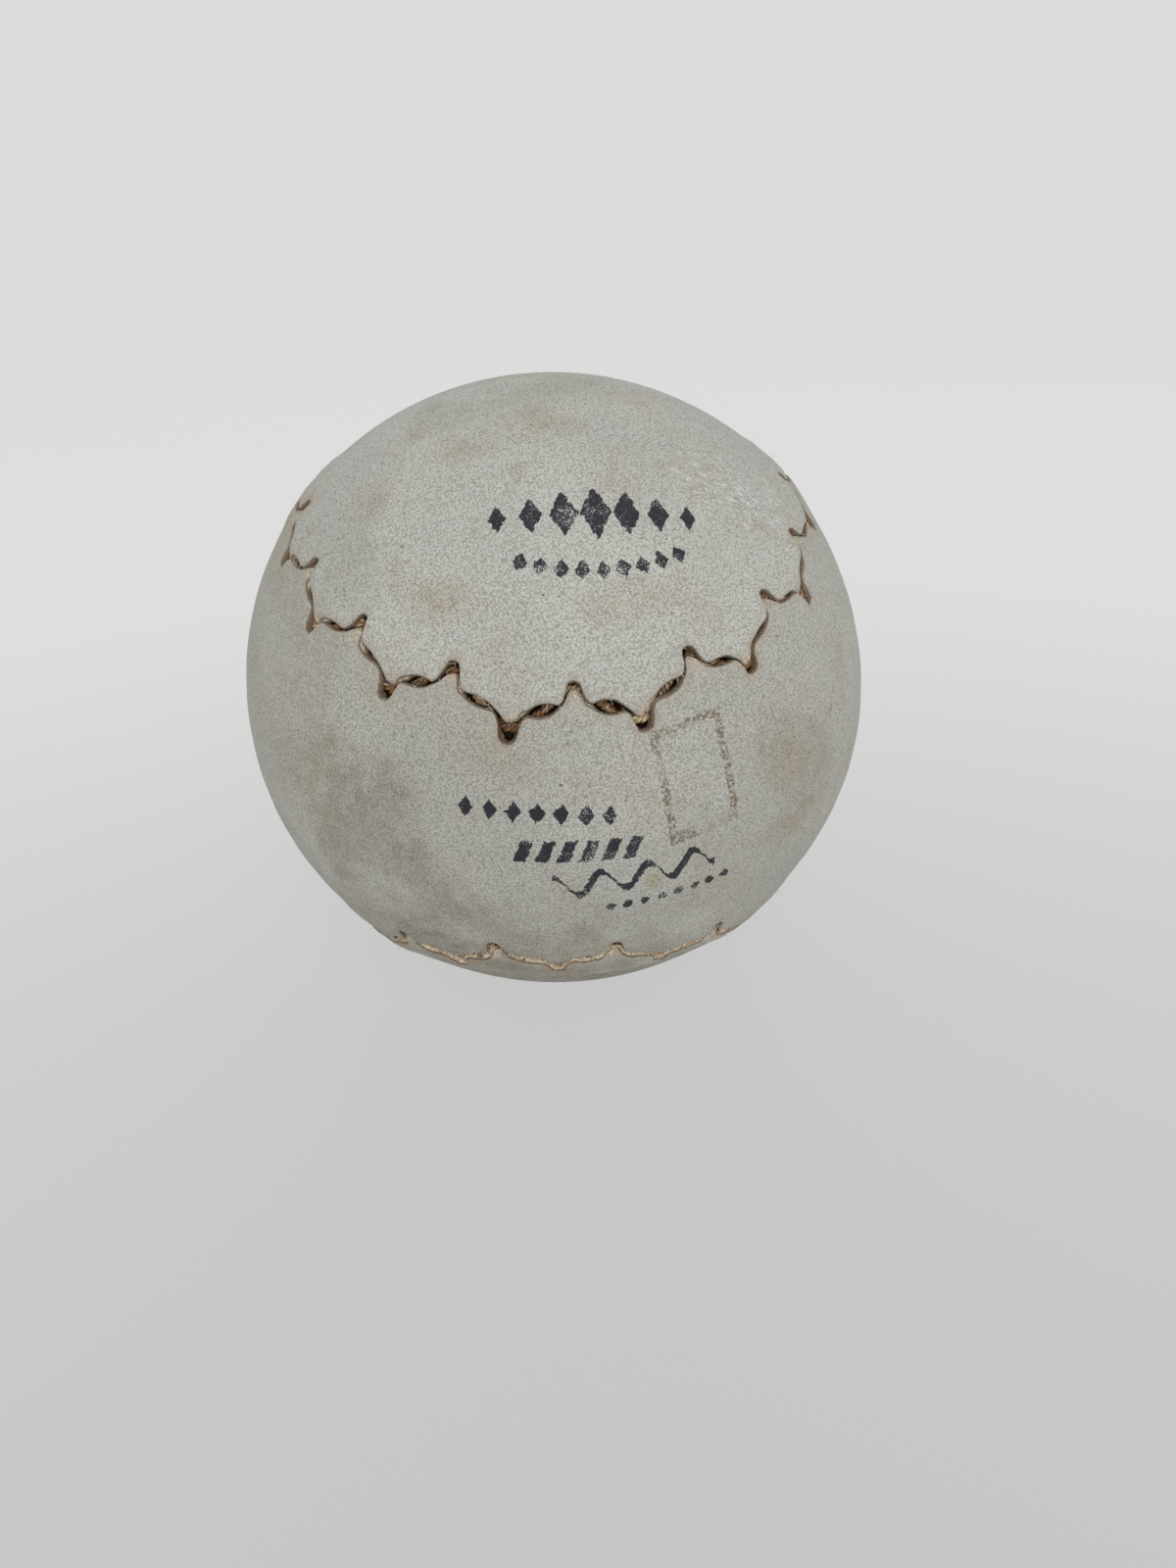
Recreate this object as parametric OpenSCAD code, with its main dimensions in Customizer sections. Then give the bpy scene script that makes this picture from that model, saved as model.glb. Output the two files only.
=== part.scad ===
// Softball with a two-panel leather cover whose tabs interlock over a laced thread.
// The origin is the middle of the ball. Panel A's lobes point up and down, panel B's along X.

/* [Ball] */
// Diameter of the finished ball
ball_d = 97; // [80:0.5:120]
// Thickness of the leather
cover_t = 1.75; // [1.2:0.05:2.5]
// Thickness left where the flesh side is skived along the seam
skived_t = 0.7; // [0.4:0.05:1.2]

/* [Inside] */
// Diameter of the pressed fibre centre
core_d = 62; // [40:1:80]
// Outer diameter of the coarse yarn winding
coarse_d = 80; // [60:1:90]
// Thickness of the dipped latex coat
latex_t = 0.6; // [0.2:0.05:1.5]
// Gap modelled between one layer and the next
layer_gap = 0.05; // [0.02:0.01:0.2]

/* [Seam] */
// Half the width of a panel's waist, as an angle
waist = 22.5; // [15:0.5:35]
// How far the seam swings round each lobe, as an angle
swing = 21; // [0:0.5:30]
// Flattening of the seam at the lobe ends, as an angle
flatten = 1.95; // [0:0.05:6]
// Tabs on each panel
tabs = 38; // [30:4:42]
// How far a notch reaches into its own panel from the middle of the seam
tab_h = 3.3; // [1.5:0.05:3.4]
// Distance of the stitch holes from the middle of the seam
hole_off = 2.4; // [1.5:0.05:2.8]
// Half width of the skived strip
channel = 3.8; // [3.6:0.1:6]
// Diameter of the waxed thread
thread_d = 0.95; // [0.5:0.05:1.4]

/* [Hidden] */
ball_r = ball_d / 2;
flesh_r = ball_r - cover_t;          // inside of the leather
skived_r = ball_r - skived_t;        // inside of the leather along the seam
latex_r = flesh_r - layer_gap;
latex_in = latex_r - latex_t;
fine_r = latex_in - layer_gap;       // outside of the fine yarn winding
thread_r = (latex_r + skived_r) / 2; // where the thread runs
strip_steps = 6;                     // points on the skived edge for one tab
thread_steps = 8;                    // rings of thread for one tab
thread_sides = 8;
reach = 1.35;                        // cutters end at this many ball radii
table_steps = 1440;
fa_round = 160;
// Edge of panel A over half a tab, from the end of a notch to the tip of the next tab,
// as a fraction of the half pitch and a fraction of tab_h. Panel B's edge is its mirror image.
edge = [[0, 1], [0.07, 0.97], [0.115, 0.88], [0.14, 0.72], [0.152, 0.53], [0.18, 0.36], [0.25, 0.17],
        [0.5, 0.06], [0.7, -0.05], [0.81, -0.25], [0.87, -0.44], [0.925, -0.62], [1, -0.69]];
half_steps = len(edge) - 1;

function unit(v) = v / norm(v);

// Middle of the seam on a unit ball. t runs from 0 to 720 once round the seam.
function seam(t) =
    let (lat = (90 - waist) * cos(t) + flatten * (cos(t) - cos(3 * t)),
         lon = t / 2 + swing * sin(2 * t))
    [cos(lat) * cos(lon), sin(lat), cos(lat) * sin(lon)];

// Length along the seam, so that the tabs can be evenly spaced
seam_pts = [for (i = [0 : table_steps]) seam(720 * i / table_steps)];
seam_len = [for (i = 0, s = 0; i <= table_steps;
                 s = s + (i < table_steps ? norm(seam_pts[i + 1] - seam_pts[i]) : 0), i = i + 1) s];
total = seam_len[table_steps];
t_of = [for (i = [0 : table_steps]) [seam_len[i] / total, 720 * i / table_steps]];

// A direction at fraction u of the seam, v mm towards panel A
function on_seam(u, v) =
    let (t = lookup(u, t_of),
         p = seam(t),
         along = unit(seam(t + 0.5) - seam(t - 0.5)),
         side = unit(cross(along, p)),
         a = v / ball_r * 180 / PI)
    p * cos(a) + side * sin(a);

// Place within one tab, as an angle: 0 is the tip of a tab of panel B, 180 of panel A
function turn(u) = 360 * tabs * (u - 0.25);

// Outline of panel A with its tabs, and the plain curve inside it where the skived strip ends
function tabbed() =
    [for (i = [0 : tabs - 1], j = [0 : 2 * half_steps - 1])
        let (p = edge[abs(half_steps - j)], x = 0.5 + sign(j - half_steps) * p[0] / 2)
        on_seam((i + x) / tabs, p[1] * tab_h)];
function plain(n) = [for (j = [0 : n - 1]) on_seam(j / n, channel)];

// Rows across panel A's plain curve q, joined through points on X = 0.
// e is where q starts in the list of points and m where the middle points start.
// Row 0 crosses the waist, and rows go up over one lobe and down over the other.
function q_left(n, k) = k >= 0 ? k : n + k;
function q_right(n, k) = n / 2 - k;
function middles(q) =
    let (n = len(q))
    [for (k = [-n / 4 + 1 : n / 4 - 1]) let (p = q[q_left(n, k)]) unit([0, p[1], p[2]])];
function rows(n, e, m) =
    let (h = n / 4)
    [for (k = [-h : h - 1])
        let (l0 = e + q_left(n, k), l1 = e + q_left(n, k + 1),
             r0 = e + q_right(n, k), r1 = e + q_right(n, k + 1),
             m0 = m + k + h - 1, m1 = m0 + 1)
        each k == -h ? [[l0, l1, m1], [l0, m1, r1]]
           : k == h - 1 ? [[l0, l1, m0], [m0, l1, r0]]
           : [[l0, l1, m1], [l0, m1, m0], [m0, m1, r1], [m0, r1, r0]]];

// All that lies out from the middle of the ball through the plain curve
module plain_cone() {
    q = plain(tabs * strip_steps);
    n = len(q);
    pts = reach * ball_r * concat([[0, 0, 0]], q, middles(q));
    polyhedron(pts, concat([for (j = [0 : n - 1]) [0, 1 + (j + 1) % n, 1 + j]],
                           rows(n, 1, 1 + n)));
}

// The same through the tabbed outline
module tabbed_cone() {
    e = tabbed();
    q = plain(tabs * strip_steps);
    ne = len(e);
    n = len(q);
    c = ne / n;
    pts = reach * ball_r * concat([[0, 0, 0]], e, q, middles(q));
    polyhedron(pts, concat(
        [for (j = [0 : ne - 1]) [0, 1 + (j + 1) % ne, 1 + j]],
        [for (i = [0 : n - 1], k = [0 : c - 1])
            [1 + c * i + k, 1 + (c * i + k + 1) % ne, 1 + ne + (k < c / 2 ? i : (i + 1) % n)]],
        [for (i = [0 : n - 1]) [1 + c * i + c / 2, 1 + ne + (i + 1) % n, 1 + ne + i]],
        rows(n, 1 + ne, 1 + ne + n)));
}

module shell(outer, inner) {
    difference() {
        sphere(r = outer, $fn = fa_round);
        sphere(r = inner, $fn = fa_round);
    }
}

// One leather panel: thin along the seam, full thickness inside the skived strip
module panel() {
    intersection() {
        shell(ball_r, skived_r);
        tabbed_cone();
    }
    intersection() {
        shell(skived_r + skived_t / 2, flesh_r);
        plain_cone();
    }
}

module fibre_core() color([0.80, 0.70, 0.50]) sphere(d = core_d, $fn = fa_round);
module coarse_winding() color([0.86, 0.82, 0.72]) shell(coarse_d / 2, core_d / 2 + layer_gap);
module fine_winding() color([0.90, 0.88, 0.80]) shell(fine_r, coarse_d / 2 + layer_gap);
module latex_coat() color([0.72, 0.62, 0.42]) shell(latex_r, latex_in);
module cover_panel_a() color([0.85, 0.83, 0.79]) panel();
module cover_panel_b() color([0.82, 0.80, 0.76]) rotate(a = 180, v = [1, 0, 1]) panel();

// The thread zigzags under the seam from hole to hole
module seam_thread() {
    n = tabs * thread_steps;
    pts = [for (i = [0 : n - 1])
        let (u = i / n, p = on_seam(u, hole_off * cos(turn(u))),
             before = on_seam((i - 1 + n) % n / n, hole_off * cos(turn((i - 1) / n))),
             after = on_seam((i + 1) % n / n, hole_off * cos(turn((i + 1) / n))),
             along = unit(after - before), side = unit(cross(along, p)))
        for (k = [0 : thread_sides - 1])
            let (a = 360 * (k + 0.5) / thread_sides)
            p * (thread_r + thread_d / 2 * cos(a)) + side * thread_d / 2 * sin(a)];
    color([0.45, 0.27, 0.12])
        polyhedron(pts, [for (i = [0 : n - 1], k = [0 : thread_sides - 1])
            let (a = i * thread_sides, b = (i + 1) % n * thread_sides, k1 = (k + 1) % thread_sides)
            each [[a + k, b + k, b + k1], [a + k, b + k1, a + k1]]]);
}

fibre_core();
coarse_winding();
fine_winding();
latex_coat();
cover_panel_a();
cover_panel_b();
seam_thread();
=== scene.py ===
"""Looks of a leather softball with an interlocked two-panel cover, built round its CAD frame."""

import math

import bpy
import numpy as np
from mathutils import Matrix, Vector


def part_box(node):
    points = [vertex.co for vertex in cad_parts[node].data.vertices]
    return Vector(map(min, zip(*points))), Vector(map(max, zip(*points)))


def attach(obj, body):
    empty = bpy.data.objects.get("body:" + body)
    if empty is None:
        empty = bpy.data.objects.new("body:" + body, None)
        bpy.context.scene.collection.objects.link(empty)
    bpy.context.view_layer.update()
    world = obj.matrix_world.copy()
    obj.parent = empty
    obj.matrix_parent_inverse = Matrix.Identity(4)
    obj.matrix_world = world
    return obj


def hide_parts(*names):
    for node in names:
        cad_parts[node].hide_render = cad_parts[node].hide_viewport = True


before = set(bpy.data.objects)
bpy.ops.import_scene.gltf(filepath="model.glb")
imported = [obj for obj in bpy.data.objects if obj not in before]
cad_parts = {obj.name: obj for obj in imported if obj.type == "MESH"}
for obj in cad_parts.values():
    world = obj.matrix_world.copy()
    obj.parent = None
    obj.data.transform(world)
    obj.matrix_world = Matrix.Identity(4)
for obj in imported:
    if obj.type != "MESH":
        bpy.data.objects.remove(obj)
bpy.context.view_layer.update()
MM = 0.001  # metres in a millimetre


def radius_mm(node):
    """Radius of a round CAD piece in mm."""
    low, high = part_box(node)
    return (high[2] - low[2]) / 2 / MM


# Everything is in mm until a mesh is made
BALL = radius_mm("cover_panel_a")
COAT = radius_mm("latex_coat")
rng = np.random.default_rng(12)

# ---------------------------------------------------------------- the seam
WAIST, SWING, FLATTEN = (math.radians(a) for a in (22.5, 21, 1.95))
TABS = 38
HALF = 20  # steps along half a tab


def seam(t):
    """Middle of the seam on a unit ball; t runs from 0 to 4 pi once round."""
    lat = (math.pi / 2 - WAIST) * np.cos(t) + FLATTEN * (np.cos(t) - np.cos(3 * t))
    lon = t / 2 + SWING * np.sin(2 * t)
    return np.stack([np.cos(lat) * np.cos(lon), np.sin(lat), np.cos(lat) * np.sin(lon)], -1)


def unit(v):
    """The same directions, each of length 1."""
    return v / np.linalg.norm(v, axis=-1, keepdims=True)


seam_t = np.linspace(0, 4 * math.pi, 9121)
seam_run = np.concatenate([[0], np.cumsum(np.linalg.norm(np.diff(seam(seam_t), axis=0), axis=1))])
LENGTH = seam_run[-1] * BALL
PITCH = LENGTH / TABS  # mm from one tab of a panel to its next


def on_seam(x, v):
    """Direction at x mm along the seam and v mm towards panel A."""
    t = np.interp(np.mod(x / LENGTH, 1), seam_run / seam_run[-1], seam_t)
    p = seam(t)
    side = unit(np.cross(unit(seam(t + 0.01) - seam(t - 0.01)), p))
    a = np.asarray(v)[..., None] / BALL
    return p * np.cos(a) + side * np.sin(a)


def smooth(x, a, b):
    """Goes smoothly from 0 at a to 1 at b."""
    k = np.clip((x - a) / (b - a), 0, 1)
    return k * k * (3 - 2 * k)


# ---------------------------------------------------------------- each tab's own shape
# Half a tab, from the end of a notch to the tip of the next tab: mm along, mm towards panel A
EDGE = np.array([
    [0, 3.3], [0.4, 3.25], [0.7, 3.05], [0.9, 2.7], [1.0, 2.3], [1.06, 1.8], [1.2, 1.3], [1.5, 0.85],
    [1.9, 0.5], [2.5, 0.35], [3.5, 0.2], [4.6, -0.05], [5.25, -0.4], [5.75, -0.85], [6.05, -1.35],
    [6.28, -1.85], [6.5, -2.15], [6.75, -2.27], [7.02, -2.3]])
NOTCH, TIP = EDGE[0, 1], EDGE[-1, 1]
SHOULDERS = (-0.4, 0.5)  # where the tip of a tab and the end of a notch begin


def smooth_noise(n, knots, seed):
    """Closed loop of n values, smooth, about unit size, with that many random knots."""
    r = np.random.default_rng(seed).normal(size=knots)
    f = np.fft.rfft(r)
    big = np.zeros(n // 2 + 1, complex)
    big[: len(f)] = f
    out = np.fft.irfft(big, n)
    return out / out.std()


# Tips are numbered round the seam: even numbers are tips of panel A, odd ones of panel B.
# Number 19 is in the middle of the front, and numbers grow towards -X from there.
TIPS = 2 * TABS
numbers = np.arange(TIPS)
tip_x = rng.normal(0, 0.2, TIPS)
tip_v = rng.normal(1.0, 0.05, TIPS)
# mm between a tip and the end of its notch
hole = rng.normal(np.where(numbers % 2 == 1, 1.0, 1.3), 0.25).clip(0.6, 1.9)
# half the opening between tip i and tip i + 1, and how far that opening is off its middle
lens = rng.normal(0.34, 0.14, TIPS).clip(0.12, 0.7)
lens_at = rng.normal(0, 0.3, TIPS).clip(-0.6, 0.6)
# how far a tip is pulled down
dip = rng.uniform(0.35, 0.8, TIPS)
# those that face the front, as they are on this ball
tip_x[14:25] = 0.3, -0.3, 0.2, -0.2, 0.3, 0.3, 0.1, 0.6, 0.5, 0.5, 0.5
hole[14:26] = 1.2, 0.9, 1.0, 0.95, 1.25, 1.05, 1.9, 1.2, 1.8, 1.4, 1.6, 1.2
lens[12:28] = 0.2, 0.2, 0.15, 0.22, 0.36, 0.54, 0.74, 0.66, 0.40, 0.55, 0.32, 0.30, 0.25, 0.3, 0.2, 0.25
LOW = 57  # the tip in the middle of the lower front, where the tabs have crept along by CREEP mm
CREEP = 4.0
tip_x += numbers * PITCH / 2 - CREEP * np.exp(-(((numbers - LOW) / 7) ** 2))


def tip_number(x):
    """How many tips lie between the start of the seam and x mm along it, with fractions."""
    xs = np.concatenate([[tip_x[-1] - LENGTH], tip_x, [tip_x[0] + LENGTH]])
    return np.interp(np.mod(x, LENGTH), xs, np.arange(-1, TIPS + 1))


def sway(x):
    """Where the seam strays from its true line, in mm towards panel A."""
    return -2.1 * np.exp(-(((tip_number(x) - 54.5) / 3.2) ** 2))


def low_front(x):
    """1 along the lower front seam, where panel A stands proud and shows its cut face, 0 elsewhere."""
    return np.exp(-(((tip_number(x) - LOW) / 5.5) ** 4))


def reach(v, notch, tip):
    """Makes a notch deeper and the tip of a tab longer by these many mm."""
    low, high = SHOULDERS
    v = np.where(v > high, high + (v - high) * (1 + notch / (NOTCH - high)), v)
    return np.where(v < low, low + (v - low) * (1 + tip / (low - TIP)), v)


def edges(x):
    """Edges of panels A and B at x mm along the seam, both in mm towards panel A."""
    k = tip_number(x)
    i = np.floor(k).astype(int)
    f = k - i  # 0 at tip i, 1 at tip i + 1
    i0, i1 = i % TIPS, (i + 1) % TIPS
    half = EDGE[-1, 0]

    def prof(d):
        return np.interp(d * half, EDGE[:, 0], EDGE[:, 1])

    odd = i0 % 2 == 1  # a tip of B, so a notch of A
    from_b = np.where(odd, f, 1 - f)  # distance from the tip of B
    nb, na = np.where(odd, i0, i1), np.where(odd, i1, i0)
    more = (hole - NOTCH - TIP) / 2
    va = reach(prof(from_b), more[nb], -more[na]) * tip_v[nb]
    vb = -reach(prof(1 - from_b), more[na], -more[nb]) * tip_v[na]
    # the side of a tab that faces +X has sprung open and shows its cut face
    open_b = ~odd * np.exp(-(((from_b - 0.17) / 0.09) ** 2)) * 0.3
    open_a = odd * np.exp(-(((from_b - 0.83) / 0.09) ** 2)) * 0.38
    # the lens-shaped opening halfway along the side of each tab
    s = (from_b * half - half / 2 - lens_at[i0]) / 1.8
    wide = lens[i0] * np.clip(1 - s * s, 0, 1) ** 0.8
    middle = (va + vb) / 2 + sway(x)
    open_b = open_b + 0.3 * low_front(x)
    shut = 0.05 + np.maximum((va - vb) / 2, 0) * (1 - 0.8 * smooth(abs(s), 1.25, 0.8))
    return middle + shut + wide + open_a, middle - shut - wide - open_b


def columns():
    """Places along the seam, close together at tips and notches, the same for every tab."""
    x = np.linspace(0, EDGE[-1, 0], 2001)
    a = np.interp(x, EDGE[:, 0], EDGE[:, 1])
    b = -np.interp(EDGE[-1, 0] - x, EDGE[:, 0], EDGE[:, 1])
    legs = np.sqrt(np.diff(x) ** 2 + 0.5 * np.diff(a) ** 2 + 0.5 * np.diff(b) ** 2)
    run = np.concatenate([[0], np.cumsum(legs)])
    k = np.linspace(0, run[-1], HALF + 1)
    c = np.interp(k, run, x) / EDGE[-1, 0] * PITCH / 2
    c = (c + (PITCH / 2 - c)[::-1]) / 2
    tab = np.concatenate([c[:-1], PITCH / 2 + c[:-1]])
    return (np.arange(TABS)[:, None] * PITCH + tab).ravel()


# ---------------------------------------------------------------- meshes
def lumps(p):
    """Slow unevenness of an old ball, in mm, for unit directions p."""
    w = np.random.default_rng(5)
    h = np.zeros(len(p))
    for _ in range(9):
        d, c = unit(w.normal(size=3)), w.uniform(0, 2 * math.pi)
        h += np.cos(p @ d * w.uniform(2.5, 6.5) + c)
    return -0.1 - 0.06 * h + 0.25 * p[:, 0] ** 2 - 0.2 * p[:, 2] ** 2


def ridge(v):
    """How far the leather stands proud beside the seam, v mm from its middle."""
    return 0.5 * np.exp(-((v / 4.2) ** 2))


def make(name, verts, faces, material, attributes=None):
    """A smooth mesh object from verts in mm, with one number per vertex for each attribute."""
    mesh = bpy.data.meshes.new(name)
    mesh.from_pydata((np.asarray(verts) * MM).tolist(), [], [list(map(int, f)) for f in faces])
    mesh.polygons.foreach_set("use_smooth", [True] * len(mesh.polygons))
    for key, values in (attributes or {}).items():
        mesh.attributes.new(key, "FLOAT", "POINT").data.foreach_set("value", np.asarray(values, np.float32))
    mesh.validate()
    mesh.update()
    mesh.materials.append(material)
    obj = bpy.data.objects.new(name, mesh)
    bpy.context.scene.collection.objects.link(obj)
    return obj


def zip_rings(a, b):
    """Faces between a fine ring a and a coarser ring b inside it; both are lists of vertex numbers."""
    c = len(a) // len(b)
    out = []
    for i in range(len(b)):
        nxt = (i + 1) % len(b)
        for k in range(c):
            out.append((a[c * i + k], a[(c * i + k + 1) % len(a)], b[i if k < c // 2 else nxt]))
        out.append((a[c * i + c // 2], b[nxt], b[i]))
    return out


def seam_distance(p):
    """Distance in mm of unit directions p from the middle of the seam."""
    line = seam(np.linspace(0, 4 * math.pi, 600, endpoint=False))
    return np.arccos(np.clip((p @ line.T).max(1), -1, 1)) * BALL


def ladder(q, across):
    """Fills the loop of directions q, the same on both sides of X = 0, with rows across it.
    Returns the new directions, and the faces, whose numbers count the loop's own points first."""
    n = len(q)
    h = n // 4
    left = [k % n for k in range(-h, h + 1)]
    right = [(n // 2 - k) % n for k in range(-h, h + 1)]
    new, rows = [], []
    for l, r in zip(left, right):
        if l == r:
            rows.append([l])
            continue
        y, z = q[l][1] + q[r][1], q[l][2] + q[r][2]
        mid = unit(np.array([0, y, z]))
        a0, a1 = math.asin(q[l][0]), math.asin(q[r][0])
        row = [l]
        for j in range(1, across):
            a = a0 + (a1 - a0) * j / across
            row.append(n + len(new))
            new.append(np.array([math.sin(a), 0, 0]) + mid * math.cos(a))
        rows.append(row + [r])
    faces = []
    for lo, hi in zip(rows[:-1], rows[1:]):
        if len(lo) == 1:
            faces += [(lo[0], hi[j], hi[j + 1]) for j in range(across)]
        elif len(hi) == 1:
            faces += [(lo[j + 1], lo[j], hi[0]) for j in range(across)]
        else:
            faces += [(lo[j], hi[j], hi[j + 1], lo[j + 1]) for j in range(across)]
    return np.array(new), faces


# Rows of the leather beside an edge, in mm from it; the last row lies INSET mm from the middle of the seam
ROWS = (0, 0.07, 0.16, 0.3, 0.5, 0.78, 1.15, 1.65, 2.3, 3.1, 4.1, 5.2)
INSET = 6.6
# The cut face: how deep, what share of its lean it has there, and how much pale fibre it shows, the rest
# painted shade that deepens down into the seam
CUT_FACE = ((0.105, 0.3, 1), (0.3, 0.62, 1), (0.63, 0.9, 0.6), (1.02, 1.0, 0.1))
FLESH, INNER = BALL - 0.95, COAT + 0.06  # radius of the thinned leather over the thread, and under the rest
FAR = 8  # stands for "nowhere near the edge" in edge_mm


def panel(name, is_b, material):
    """One leather panel: a closed sheet with tabbed, rounded, slightly curled edges.
    It is built as panel A. Panel B is the same in a frame turned half round the X = Z axis."""
    own = columns()
    step = 10  # columns of the edge strip to one of the coarse rest
    x = np.mod(LENGTH / 4 - own, LENGTH) if is_b else own  # the same places on the real seam
    va, vb = edges(x)
    edge = -vb if is_b else va
    n = len(own)
    # outward direction of the edge in the seam's plane
    dx = np.roll(own, -1) - np.roll(own, 1)
    dx[dx < 0] += LENGTH
    dv = np.roll(edge, -1) - np.roll(edge, 1)
    out = np.stack([dv, -dx], -1) / np.hypot(dx, dv)[:, None]
    # how far each column's cut face leans out from under the top edge
    bevel = 0.08 + 0.05 * smooth_noise(n, 140, 3 + is_b)

    verts, info, faces = [], [], []

    def spin(p):
        """From this panel's own frame to the ball's."""
        return np.stack([p[:, 2], -p[:, 1], p[:, 0]], -1) if is_b else p

    def ring(dirs, radius, d, cut, side=0):
        """Adds vertices and says their numbers; d, cut and side are the values of the three attributes."""
        start = sum(len(v) for v in verts)
        verts.append(dirs * np.broadcast_to(np.asarray(radius, float).reshape(-1, 1), (len(dirs), 1)))
        values = [np.broadcast_to(np.asarray(k, float), len(dirs)) for k in (d, cut, side)]
        info.append(np.stack(values, -1))
        return list(range(start, start + len(dirs)))

    all_x = np.mod(LENGTH / 4 - tip_x, LENGTH) if is_b else tip_x
    tip_edge = np.interp(all_x, np.append(own, LENGTH), np.append(edge, edge[0]))
    mine = numbers % 2 == int(is_b)
    sign = -1 if is_b else 1

    for i in np.nonzero(mine)[0]:
        ddx = ((own - all_x[i] + LENGTH / 2) % LENGTH - LENGTH / 2) * sign
        bevel += 0.42 * np.exp(-(((ddx + 1.3) / 0.8) ** 2))
    low = low_front(x)
    if not is_b:
        bevel += 0.32 * low
    bevel = bevel.clip(0, 0.58)
    # share of the cut face that keeps its pale fibre colour; the rest gets painted shade in the material
    unshaded_flank = smooth(bevel, 0.12, 0.38)
    shift = sway(x) * sign

    def true_distance(px, pv):
        """Distance of each point of a ring from the edge, looking at the columns near it."""
        best = np.full(n, 1e9)
        for s in range(-26, 27):
            ex, ev = np.roll(own, s), np.roll(edge, s)
            d = np.abs(ex - px)
            d = np.minimum(d, LENGTH - d)
            best = np.minimum(best, np.hypot(d, ev - pv))
        return best

    def tip_push(px, pv):
        """How far the leather stands up round the other panel's tips and sinks at its own,
        and how bare its fibre is."""
        rise = np.zeros(n)
        bare = np.zeros(n)
        for i in range(TIPS):
            ddx = (px - all_x[i] + LENGTH / 2) % LENGTH - LENGTH / 2
            near = abs(ddx) < 5
            r = np.hypot(ddx[near], pv[near] - tip_edge[i])
            if mine[i]:
                rise[near] -= dip[i] * np.exp(-((r / 1.3) ** 2))
                rubbed = np.exp(-((r / 1.15) ** 2)) * smooth(ddx[near] * sign, 0.7, -0.5) ** 0.5
                bare[near] = np.maximum(bare[near], rubbed)
            else:
                rise[near] += 0.14 * np.exp(-(((r - 1.2) / 0.9) ** 2))
        return rise, bare

    # grain side, beside the edge
    ids = []
    pucker = smooth_noise(n, 420, 21 + is_b)
    for row in ROWS:
        part = row / ROWS[-1]
        v = edge + np.minimum(row * (1 + part * 0.3), (INSET - edge) * part)
        if part == 1:
            v = np.full(n, INSET)
        d = true_distance(own, v)
        push, bare = tip_push(own, v)
        dirs = on_seam(own, v)
        height = -0.24 * np.exp(-d / 0.12) - 0.14 * np.exp(-d / 0.55) + ridge(v)
        height = height + push + 0.04 * pucker * np.exp(-d / 1.2)
        height = height + (-0.12 if is_b else 0.2) * low * np.exp(-d / 1.5)
        level = BALL + lumps(spin(dirs)) + height
        if row == 0:
            top_edge = level
        ids.append(ring(dirs, level, d, bare * 0.9, 1))
    for a, b in zip(ids[:-1], ids[1:]):
        faces += [(a[j], a[(j + 1) % n], b[(j + 1) % n], b[j]) for j in range(n)]
    # the cut face, rounded at the top
    wall = []
    foot = COAT + 0.45
    for depth, lean_out, light in CUT_FACE:
        o = bevel * lean_out + 0.02
        dirs = on_seam(own + out[:, 0] * o, edge + out[:, 1] * o)
        wall.append(ring(dirs, np.maximum(top_edge - depth, foot), 0, 1, unshaded_flank * light))
    chain = [ids[0]] + wall
    for a, b in zip(chain[:-1], chain[1:]):
        faces += [(b[j], b[(j + 1) % n], a[(j + 1) % n], a[j]) for j in range(n)]
    # flesh side: thinned over the thread, then down to the coat
    own_c = own[::step]
    m = len(own_c)
    flesh1 = ring(on_seam(own_c, 3.9 + shift[::step]), FLESH, FAR, 1)
    under = on_seam(own_c, 4.2 + shift[::step])
    flesh2 = ring(under, INNER, FAR, 1)
    faces += [f[::-1] for f in zip_rings(wall[-1], flesh1)]
    faces += [(flesh2[j], flesh2[(j + 1) % m], flesh1[(j + 1) % m], flesh1[j]) for j in range(m)]
    new, fill = ladder(under, across=24)
    pick = flesh2 + ring(new, INNER, FAR, 1)
    faces += [tuple(pick[i] for i in f)[::-1] for f in fill]
    # grain side, inside the edge strip
    start = on_seam(own_c, np.full(m, INSET + 0.9))
    inside_edge = ring(start, BALL + lumps(spin(start)) + ridge(INSET + 0.9), FAR, 0)
    faces += zip_rings(ids[-1], inside_edge)
    new, fill = ladder(start, across=72)
    pick = inside_edge + ring(new, BALL + lumps(spin(new)) + ridge(seam_distance(new)), FAR, 0)
    faces += [tuple(pick[i] for i in f) for f in fill]

    edge_mm, cut, side = np.concatenate(info).T
    attributes = {"edge_mm": edge_mm, "cut": cut, "unshaded_flank": side}
    return make(name, spin(np.concatenate(verts)), [f[::-1] for f in faces], material, attributes)


# The thread: how far it swings to either side of the seam, the radius of a strand, the radius
# of the helix that each strand follows, and the length of one turn
SWING_OUT, STRAND, HELIX, LAY = 2.35, 0.31, 0.29, 2.1


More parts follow.
